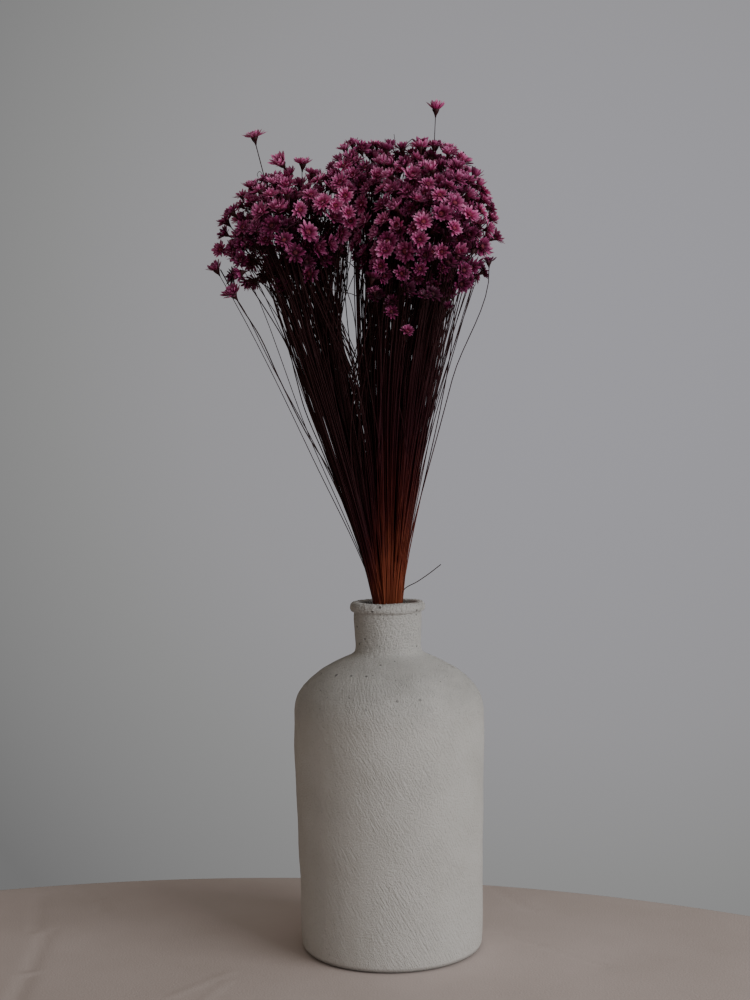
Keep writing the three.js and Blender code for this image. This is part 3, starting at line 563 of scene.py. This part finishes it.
def with_young(grown, random):
    """The grown flowers and the young ones that fill the gaps between them. Each grown flower gets one in
    each round, at the tried place near it that leaves room and lies furthest out of the bunch."""
    gaps, crowded = crowd(grown)
    inner = np.stack([grown["head"][near].mean(0) for near in np.argsort(gaps, axis=1)[:, :NEIGHBOURS]])
    heads, sizes, found = list(grown["head"]), list(grown["size"]), []
    for parent in np.concatenate([random.permutation(crowded) for _ in range(YOUNG_ROUNDS)]):
        size = random.uniform(*YOUNG_SIZE)
        around = random.normal(0, 1.0, (YOUNG_TRIES, 3))
        behind = random.uniform(0, YOUNG_BEHIND, (YOUNG_TRIES, 1)) * grown["axis"][parent]
        tries = grown["head"][parent] + grown["size"][parent] * (around - behind)
        apart = np.linalg.norm(tries[:, None] - np.array(heads)[None], axis=-1) / (np.array(sizes) + size)
        depth = np.linalg.norm(tries - inner[parent], axis=1)
        depth -= np.linalg.norm(grown["head"][parent] - inner[parent])
        fits = (apart.min(1) > YOUNG_ROOM) & (tries[:, 2] > LOWEST) & (depth < YOUNG_ABOVE)
        fits &= (tries[:, 0] < DIP[0]) | (tries[:, 0] > DIP[1]) | (tries[:, 2] < DIP[2])
        if fits.any():
            heads.append(tries[np.argmax(np.where(fits, depth, -99))])
            sizes.append(size)
            found.append(parent)
    parent, n, first = np.array(found), len(found), len(grown["size"])
    axis = unit(grown["axis"][parent] + random.normal(0, YOUNG_TURN, (n, 3)) + (0, -0.15, 0))
    # Young heads stand deep in the bunch, so their petals get painted shade
    return together(grown, {
        "root": scattered(grown["root"][parent], YOUNG_ASIDE[0], 0, random),
        "crook": scattered(grown["crook"][parent], YOUNG_ASIDE[1], 4, random),
        "head": np.array(heads[first:]), "axis": axis, "size": np.array(sizes[first:]),
        "side": unit(np.cross(axis, random.normal(0, 1, (n, 3)))), "rise": random.uniform(*YOUNG_RISE, n),
        "tuft": grown["tuft"][parent], "painted_depth_shade": np.ones(n)})


def bare_stems(grown, random):
    """Stems beside those of some grown flowers that end, with no head, in the middle of the heads near them.
    The last ones rise between the lobes and then lean into one or the other, or fan out to the right.
    The ranges of their places are in mm."""
    gaps, crowded = crowd(grown)
    beside = random.choice(crowded, BARE)
    end = np.stack([grown["head"][near].mean(0) for near in np.argsort(gaps[beside], axis=1)[:, :NEIGHBOURS]])
    side = np.sign(random.uniform(-1, 1, BETWEEN))
    depth = random.normal(0, 9, BETWEEN + FANNED)
    root_x = np.concatenate([-4 + side, random.uniform(2.5, 7, FANNED)])
    apart = np.linalg.norm(grown["root"][None, :, :2] - np.stack([root_x, depth / 3], -1)[:, None], axis=-1)
    lean = np.argmin(apart + random.uniform(0, 2, apart.shape), axis=1)
    fan = random.uniform(0, 1, FANNED)
    crook_x = np.concatenate([random.uniform(-19, -10.5, BETWEEN), 8 + 11.5 * fan])
    crook_z = np.concatenate([random.uniform(262, 300, BETWEEN), random.uniform(244, 262, FANNED)])
    end_x = np.concatenate([GAP_X + side * random.uniform(14, 24, BETWEEN),
                            23 + 28 * fan + random.uniform(-1, 1, FANNED)])
    end_z = np.concatenate([random.normal(352, 6, BETWEEN), random.uniform(350, 362, FANNED)])
    beyond = {"root": scattered(grown["root"][lean], BARE_ASIDE[0], 0, random),
              "crook": np.stack([crook_x, depth, crook_z], 1),
              "head": np.stack([end_x, depth * 1.3, end_z], 1)}
    bare = together({"root": scattered(grown["root"][beside], BARE_ASIDE[0], 0, random),
                     "crook": scattered(grown["crook"][beside], BARE_ASIDE[1], 6, random),
                     "head": scattered(end, BARE_ASIDE[2], 1, random)}, beyond)
    return bare | {"axis": unit(bare["head"] - bare["crook"]), "size": np.zeros(BARE + len(lean)),
                   "tuft": grown["tuft"][np.concatenate([beside, lean])]}


def curve(places, tangents, shares):
    """Points on cubic curves through the places (curve, place, 3) with these tangents there. For each
    stretch, shares lists how far along it its points are."""
    lines = []
    for i, share in enumerate(shares):
        t = np.asarray(share)[None, :, None]
        a, b = places[:, i:i + 1], places[:, i + 1:i + 2]
        chord = np.linalg.norm(b - a, axis=-1, keepdims=True)
        m, n = tangents[:, i:i + 1] * chord, tangents[:, i + 1:i + 2] * chord
        lines.append((2 * t ** 3 - 3 * t ** 2 + 1) * a + (t ** 3 - 2 * t ** 2 + t) * m
                     + (3 * t ** 2 - 2 * t ** 3) * b + (t ** 3 - t ** 2) * n)
    return np.concatenate(lines, axis=1)


def stem_lines(flower, random):
    """Each stem's line: from the floor of the vase in to the waist, through its place in the mouth, out at
    its crook and into the calyx along the head's axis. It wavers a little, as a dried stem does."""
    root, crook = flower["root"], flower["crook"]
    join = flower["head"] - CALYX_BELOW * flower["size"][:, None] * flower["axis"]
    foot = np.concatenate([root[:, :2] * SPLAY, np.full((len(root), 1), FLOOR_Z)], 1)
    waist = np.concatenate([root[:, :2] * WAIST, np.full((len(root), 1), WAIST_Z)], 1)
    lower, upper = unit(root - waist), unit(crook - root)
    tangents = [unit(waist - foot), unit(lower * 0.6 + upper * 0.4), unit(lower * 0.35 + upper * 0.65),
                unit(upper + unit(join - crook)), flower["axis"]]
    lines = curve(np.stack([foot, waist, root, crook, join], 1), np.stack(tangents, 1),
                  [[0, 0.5], [0, 0.5], np.linspace(0, 1, 11)[:-1], np.linspace(0, 1, 9)])
    share = np.clip((lines[..., 2:] - WAIST_Z) / (join[:, None, 2:] - WAIST_Z), 0, 1)
    bow = random.normal(0, BOW, (2, len(root), 1, 3)) * (1, 1, 0)
    return lines + np.sin(share * np.pi) * share * bow[0] + np.sin(share * 3 * np.pi) * share * bow[1] * 0.5


def tubes(lines, radii, sides):
    """Tubes along the lines (tube, place, 3) with these radii (tube, place), as points (tube, point, 3).
    Their sides start from a direction square to the whole line, turned square to it at each place."""
    run = unit(np.gradient(lines, axis=1))
    aside = unit(np.cross(lines[:, -1] - lines[:, 0], (0.31, 0.95, 0.02)))[:, None]
    aside = unit(aside - (aside * run).sum(-1, keepdims=True) * run)
    angle = np.arange(sides)[:, None] * 2 * np.pi / sides
    ring = aside[:, :, None] * np.cos(angle) + np.cross(run, aside)[:, :, None] * np.sin(angle)
    return (lines[:, :, None] + ring * radii[:, :, None, None]).reshape(len(lines), -1, 3)


def tube_faces(places, sides):
    """Quads along a tube, and triangles that close its ends, all facing out."""
    fan = np.arange(1, sides - 1)
    near = np.stack([np.zeros_like(fan), fan + 1, fan], -1)
    far = np.stack([np.zeros_like(fan), fan, fan + 1], -1) + (places - 1) * sides
    return band_faces(places, sides), np.concatenate([near, far])


def petal_faces():
    """The faces of one petal: three sides between its stations, a point at its tip and a cap at its root."""
    stations = len(PETAL_STATIONS) - 1
    last, k = (stations - 1) * 3, np.arange(3)
    point = np.stack([last + k, np.full(3, stations * 3), last + (k + 1) % 3], -1)
    return band_faces(stations, 3)[:, [0, 3, 2, 1]], np.concatenate([point, [(0, 1, 2)]])


def petals_of(flower, random):
    """The petals of these flowers as points (flower, petal, point, 3), in shares of the head's radius and in
    its own frame. A petal is a thin blade, flat above and keeled below, that runs out from under the disc at
    its ring's rise and curls up a little. It may lean to one side, and it ends in a point."""
    each = [ring[0] for ring in PETAL_RINGS]
    _, length, rise, half = np.repeat(np.array(PETAL_RINGS, float), each, axis=0).T
    ring = np.repeat(np.arange(len(each)), each)
    place = np.concatenate([(np.arange(n) + 0.5 * i) / n for i, n in enumerate(each)])
    shape = (len(flower["size"]), len(place))
    angle = place * 2 * np.pi + random.normal(0, PETAL_TURN, shape)
    length = length * random.uniform(*PETAL_LENGTHS, shape) * (1 + 0.1 * np.sin(flower["rise"]))[:, None]
    rise = flower["rise"][:, None] + np.radians(rise) + random.normal(0, PETAL_RISE, shape)
    half = half * random.uniform(*PETAL_HALVES, shape)
    curl = random.normal(*PETAL_CURL, shape)[..., None]
    climb = np.minimum(rise, STEEPEST)[..., None] + (PETAL_STATIONS - 0.6) * curl
    run = np.diff(PETAL_STATIONS, prepend=0) * (length - PETAL_START)[..., None]
    x = PETAL_START + np.cumsum(run * np.cos(climb), -1)
    z = -0.04 + 0.025 * ring[:, None] + np.cumsum(run * np.sin(climb), -1) * 0.9
    width = half[..., None] * PETAL_WIDTHS
    off = np.array([-1, 1, 0])  # left edge, right edge and underside
    lift = np.array([0.1, 0.1, -0.3]) + random.normal(0, PETAL_LEAN, shape)[..., None, None] * off
    x = np.broadcast_to(x[..., None], x.shape + (3,))
    y = width[..., None] * off
    z = z[..., None] + width[..., None] * lift
    turn = angle[..., None, None]
    local = np.stack([np.cos(turn) * x - np.sin(turn) * y, np.sin(turn) * x + np.cos(turn) * y, z], -1)
    return local.reshape(shape + (-1, 3))[:, :, :-2]  # the tip's three points are one


def turned(profile, sides, scallop):
    """A round shape from (radius, height) pairs. Its radius goes in and out by scallop, side by side."""
    side, row = np.meshgrid(np.arange(sides), np.arange(len(profile)))
    r = profile[:, :1] * (1 + scallop * np.where((side + row) % 2, 1, -1))
    angle = side * 2 * np.pi / sides
    z = np.repeat(profile[:, 1:], sides, 1)
    return np.stack([r * np.cos(angle), r * np.sin(angle), z], -1).reshape(-1, 3)


def on_heads(flower, local, growth):
    """Points (flower, ..., 3), in shares of a head's radius and in its own frame, put where the head is."""
    axis, side = flower["axis"], flower["side"]
    flat = local.reshape(len(local), -1, 3) * (growth * flower["size"])[:, None, None]
    return flat @ np.stack([side, np.cross(axis, side), axis], 1) + flower["head"][:, None]


def joined(shapes):
    """The points in metres, and the parts, of several shapes. Each has an array of points (copy, point, 3) in
    mm, arrays of the faces of one copy, and a material."""
    parts, start = [], 0
    for points, faces, material in shapes:
        count, block = points.shape[:2]
        shift = (start + block * np.arange(count))[:, None, None]
        parts += [((some + shift).reshape(-1, some.shape[1]), material) for some in faces]
        start += count * block
    return np.concatenate([points.reshape(-1, 3) for points, _, _ in shapes]) * MM, parts


# Petals are thin and dry: a soft shine, paler at the tip, each of its own tone, painted darker where a head
# stands in shade
petal_paper, tree, shader = new_material("dyed_papery_petal")
petal_place = add(tree, "Attribute", out="Vector", attribute_name="petal_place")
petal_tone = add(tree, "Attribute", out="Fac", attribute_name="petal_tone")
# A petal's place goes from -1 to 1 across it and from 0 to 1 along it, so a streak is a tenth of it wide
fibre_place = add(tree, "Mapping", {"Vector": petal_place, "Scale": (5, 0.8, 37)})
blotch = maths(tree, "MULTIPLY_ADD", noise(tree, fibre_place, 1.0), 0.7, -0.35)
along = maths(tree, "ADD", add(tree, "SeparateXYZ", {0: petal_place}, "Y"), blotch)
bright = colour_at(tree, along, [(0.0, "#7c1242"), (0.35, "#c4367e"), (0.75, "#e47cb4"), (1.0, "#f8bcdc")])
deep = colour_at(tree, along, [(0.0, "#36041a"), (0.4, "#6a0e40"), (0.8, "#982a66"), (1.0, "#bc68a0")])
# A petal_tone below 0 is painted shade, which mixes the petals towards near black
petal_colour = mixed(tree, rescaled(tree, petal_tone, (-0.6, 0.0), (0.25, 1)), linear("#1c020c"),
                     mixed(tree, petal_tone, deep, bright))
feed(shader, {"Base Color": petal_colour, "Roughness": 0.45, "Specular IOR Level": 0.3, "Sheen Weight": 0.06})

# Stems are smooth straw: the dye runs from near black down to rust, in streaks 1 mm wide and 28 mm long
stem_fibre, tree, shader = new_material("dyed_wiry_stem")
stem_place = add(tree, "TexCoord", out="Object")
stem_x = add(tree, "SeparateXYZ", {0: stem_place}, "X")
stem_z = add(tree, "SeparateXYZ", {0: stem_place}, "Z")
streak = noise(tree, add(tree, "Mapping", {"Vector": stem_place, "Scale": (1, 1, 0.04)}), 900)
stem_share = maths(tree, "ADD", rescaled(tree, stem_z, (0.17, 0.33)),
                   maths(tree, "MULTIPLY_ADD", streak, 0.5, -0.25))
painted_left_shade = rescaled(tree, stem_x, (-0.002, -0.013), (0, 0.4))  # painted shade: stems further left are darker, on the side away from the window
stem_colour = colour_at(tree, maths(tree, "ADD", stem_share, painted_left_shade), [
    (0.0, "#a1583a"), (0.16, "#8e452e"), (0.36, "#622520"), (0.62, "#3e101b"), (1.0, "#3a191d")])
feed(shader, {"Base Color": stem_colour, "Roughness": 0.5, "Specular IOR Level": 0.22})

# Discs are crumbly dry florets about 0.5 mm apart: dull coral, browner between them, painted dark where the
# head stands in shade
disc_fluff, tree, shader = new_material("dyed_dry_disc")
florets = add(tree, "TexVoronoi", {"Vector": add(tree, "TexCoord", out="Object"), "Scale": 1800})
disc_tone = add(tree, "Attribute", out="Fac", attribute_name="petal_tone")
disc_colour = mixed(tree, rescaled(tree, disc_tone, (-0.6, 0.4), (0.15, 1)), linear("#1c020c"),
                    colour_at(tree, florets, [(0.0, "#b85a58"), (0.45, "#93354c"), (0.9, "#541428")]))
feed(shader, {"Base Color": disc_colour, "Roughness": 0.85})


def nearest_to(place, flower):
    """The number of the head nearest to this place."""
    return np.argmin(np.linalg.norm(flower["head"] - place, axis=1))


def of_tuft(number, flower):
    """The flowers of this tuft."""
    return {key: values[flower["tuft"] == number] for key, values in flower.items()}


random = np.random.default_rng(SEED + 1)
tufts = sorted(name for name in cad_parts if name.startswith("tuft_"))
read = [flowers_of(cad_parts[name]) for name in tufts]
grown = {key: np.concatenate([one[key] for one in read]) for key in read[0]}
grown["root"][:, :2] = grown["root"][:, :2] * BUNCH_SHARE + BUNCH_MIDDLE
grown["tuft"] = np.repeat(np.arange(len(tufts)), [len(one["size"]) for one in read])
for key in ("head", "crook"):
    grown[key] = drawn_in(grown[key])
grown["painted_depth_shade"] = np.zeros(len(grown["size"]))
beside = [nearest_to(head, grown) for head, _ in MORE]
more = {key: grown[key][beside] + 0.5 * (key != "tuft") for key in ("root", "crook", "tuft")}
more["head"] = np.array([head for head, _ in MORE], float)
more["axis"] = unit(np.array([axis for _, axis in MORE]))
more["side"] = unit(np.cross(more["axis"], (0.1, 0.2, 1)))
more["size"] = random.uniform(*MORE_SIZE, len(MORE))
more["rise"] = random.uniform(*MORE_RISE, len(MORE))
more["painted_depth_shade"] = np.zeros(len(MORE))
grown = together(grown, more)
for place, crook in BENT:
    grown["crook"][nearest_to(place, grown)] = crook
for place, move, growth, rise in STRAYS:
    stray = nearest_to(place, grown)
    grown["head"][stray] += move
    grown["size"][stray] *= growth
    grown["rise"][stray] = rise
    # A stray stands alone out of the bunch, so its petals get painted light
    grown["painted_depth_shade"][stray] = -2
low = (grown["head"][:, 0] > LEFT_LOBE) & (grown["head"][:, 2] < LOW_HEADS)
grown["size"] *= np.where(low, LOW_SHARE, 1)
flowers = with_young(grown, random)
bare = bare_stems(grown, random)
petal_total = sum(ring[0] for ring in PETAL_RINGS)
petal_block = 3 * (len(PETAL_STATIONS) - 1) + 1
petal_spot = np.stack([np.tile([-1, 1, 0], len(PETAL_STATIONS)), np.repeat(PETAL_STATIONS, 3)], -1)[:-2]
for number, name in enumerate(tufts):
    flower = of_tuft(number, flowers)
    n = len(flower["size"])
    lines = stem_lines(together(flower, of_tuft(number, bare)), random)
    radii = STEM_RADIUS * random.uniform(*STEM_SIZES, (len(lines), 1))
    radii = radii * np.linspace(*STEM_TAPER, lines.shape[1])
    stems = tubes(lines, radii, STEM_SIDES)
    calyxes = on_heads(flower, np.repeat(turned(CALYX, CALYX_SIDES, 0.06)[None], n, 0), 1)
    petals = on_heads(flower, petals_of(flower, random), HEAD_GROWTH)
    discs = on_heads(flower, np.repeat(turned(DISC, DISC_SIDES, 0.1)[None], n, 0), HEAD_GROWTH)
    points, parts = joined([
        (stems, tube_faces(lines.shape[1], STEM_SIDES), stem_fibre),
        (calyxes, tube_faces(len(CALYX), CALYX_SIDES), stem_fibre),
        (petals.reshape(-1, petal_block, 3), petal_faces(), petal_paper),
        (discs, tube_faces(len(DISC), DISC_SIDES), disc_fluff)])
    tuft = made("flowers_" + name[-2:], points, parts, flat=[petal_paper])
    first = len(stems) * stems.shape[1] + n * calyxes.shape[1]
    last = first + n * petals.shape[1]
    place = np.zeros((len(points), 3))
    place[first:last, :2] = np.tile(petal_spot, (n * petal_total, 1))
    place[first:last, 2] = np.repeat(random.uniform(0, 1, n * petal_total), petal_block)
    store(tuft, "petal_place", place)
    # Painted shade: a head low in its lobe is darker, and so are the young heads deep in the bunch; a stray
    # is paler, as painted light
    x, _, z = flower["head"].T
    from_z, depth = np.where(x < LEFT_LOBE, np.array([UNDER_LEFT]).T, np.array([UNDER_RIGHT]).T)
    shade = np.clip((from_z - z) / depth, 0, 1)
    tone_and_painted_shade = random.uniform(*TONES, n) - INNER_PAINTED_SHADE * flower["painted_depth_shade"] - SHADE * shade
    each = np.repeat(tone_and_painted_shade, petal_total) + random.uniform(-PETAL_TONES, PETAL_TONES, n * petal_total)
    tone = np.zeros(len(points))
    tone[first:last] = np.repeat(np.clip(each, DARKEST, 1), petal_block)
    tone[last:] = np.repeat(np.clip(tone_and_painted_shade, DARKEST, 1), discs.shape[1])
    store(tuft, "petal_tone", tone)
    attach(tuft, "root")
    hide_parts(name)


# Loose stems
# A few stems that have lost their heads and don't lie with the rest: a broken one that sticks out at the
# mouth, two tips above the heads, a curl, some that cross the gap between the lobes and two that lean far to
# the left. They all rise from the tie.
LOOSE = [  # the radius, then the places that the stem passes through, in mm
    (0.25, [(4, -3, 161), (5.6, -3, 176), (8.3, -2.6, 187), (16.3, -2.2, 191.9), (22.7, -2, 196.2),
            (28.5, -2, 200.6)]),
    (0.2, [(2, -3, 161), (3, -4, 200), (6, -6, 330), (8.1, -6, 411), (9.8, -6, 417.9), (13, -6, 421.8),
           (15.9, -6, 424.5), (16.6, -6, 424.3), (18.7, -6, 420.4)]),
    (0.15, [(1, -2, 161), (2, -3, 200), (5, -4, 330), (7.7, -4, 419.5), (7.2, -4, 424.2), (6.8, -4, 427.9)]),
    (0.15, [(-4, 1, 161), (-8, 0, 200), (-40, -4, 330), (-60.5, -6, 401.6), (-62.6, -6, 406.5),
            (-64.1, -6, 408.7), (-65.4, -6, 407.2), (-64.9, -6, 405.5)]),
    (0.25, [(-1, -4, 161), (-2, -6, 200), (-7, -11, 300), (-9, -12, 346), (-15.2, -12, 356.9),
            (-26, -12, 364.9), (-31.7, -12, 368.1)]),
    (0.22, [(-1, -4, 161), (-2, -6, 200), (-7, -12, 300), (-8, -14, 336), (-15.3, -14, 342.1),
            (-21.6, -14, 343.7), (-28.3, -14, 345.4), (-31.9, -14, 346.4)]),
    (0.22, [(-3, -2, 161), (-6, -4, 200), (-24, -8, 300), (-27.2, -8, 327.3), (-24.5, -8, 334),
            (-20.2, -8, 341.9), (-16.4, -8, 350.7), (-12, -8, 360)]),
    (0.22, [(-2, -2, 161), (-4, -3, 200), (-12, -5, 290), (-14.7, -5, 324.8), (-16.6, -5, 336.9),
            (-19.6, -5, 347), (-23.1, -5, 359.1), (-24.1, -5, 368)]),
    (0.32, [(-6, -2, 161), (-8, -3, 187), (-27.8, -4, 246.7), (-42.2, -4, 272), (-55.6, -4, 300),
            (-65.2, -4, 321.8), (-75.6, -4, 338.8), (-85.9, -2, 358)]),
    (0.3, [(-5, 0, 161), (-7, 0, 187), (-21.5, -1, 229.8), (-32.5, -2, 259), (-42.2, -2, 283),
           (-47, -2, 301.3), (-50.7, -2, 315.8), (-59.2, -2, 331.5), (-70.7, -2, 349.6)])]
LOOSE_SIDES = 5
LOOSE_STEPS = np.linspace(0, 1, 6)  # from one place to the next

dark_fibre, tree, shader = new_material("dried_dark_stem")  # a thin old stem: dull, near black to brown
age = noise(tree, add(tree, "TexCoord", out="Object"), 300)  # patches about 3 mm long
feed(shader, {"Base Color": colour_at(tree, age, [(0.35, "#1c0c0c"), (0.65, "#3a1c16")]), "Roughness": 0.7})

shapes = []
for radius, places in LOOSE:
    places = np.array([places], float)
    steps = [LOOSE_STEPS[:-1]] * (places.shape[1] - 2) + [LOOSE_STEPS]
    line = curve(places, unit(np.gradient(places, axis=1)), steps)
    stem = tubes(line, np.full(line.shape[:2], radius), LOOSE_SIDES)
    shapes.append((stem, tube_faces(line.shape[1], LOOSE_SIDES), dark_fibre))
loose = made("loose_stems", *joined(shapes))
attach(loose, "root")


# Tie
# Twine of two twisted yarns, wound three times round the stems at their waist, just below the mouth, and
# tucked under itself. It holds the bunch in the middle of the mouth.
TIE_RADIUS = 8.2
TIE_MIDDLE = (0.3, 0, WAIST_Z)
TIE_TURNS = 3
TIE_PITCH = 1.25
TIE_STEPS = 560
YARN_RADIUS = 0.36
YARN_SIDES = 6
YARN_LAY = 3.2  # mm along the twine for one twist

twine, tree, shader = new_material("jute_twine")  # hairy plant fibre: dull, straw-brown, dark between strands
strands = noise(tree, add(tree, "TexCoord", out="Object"), 1500)  # about 0.7 mm apart
feed(shader, {"Base Color": colour_at(tree, strands, [(0.3, "#6e5a3e"), (0.7, "#a38c66")]), "Roughness": 0.9})

wind = np.linspace(0, TIE_TURNS, TIE_STEPS)
angle = wind * 2 * np.pi
twine_line = np.stack([TIE_RADIUS * np.cos(angle), TIE_RADIUS * np.sin(angle),
                       (wind - TIE_TURNS / 2) * TIE_PITCH], -1) + TIE_MIDDLE
outwards = np.stack([np.cos(angle), np.sin(angle), 0 * angle], -1)
twist = (wind * 2 * np.pi * TIE_RADIUS / YARN_LAY * 2 * np.pi)[:, None]
off = YARN_RADIUS * (np.cos(twist) * outwards + np.sin(twist) * (0, 0, 1))
yarns = np.stack([twine_line + off, twine_line - off])
wound = tubes(yarns, np.full(yarns.shape[:2], YARN_RADIUS), YARN_SIDES)
tie = made("twine_tie", *joined([(wound, tube_faces(TIE_STEPS, YARN_SIDES), twine)]))
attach(tie, "root")
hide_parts("tie_band")
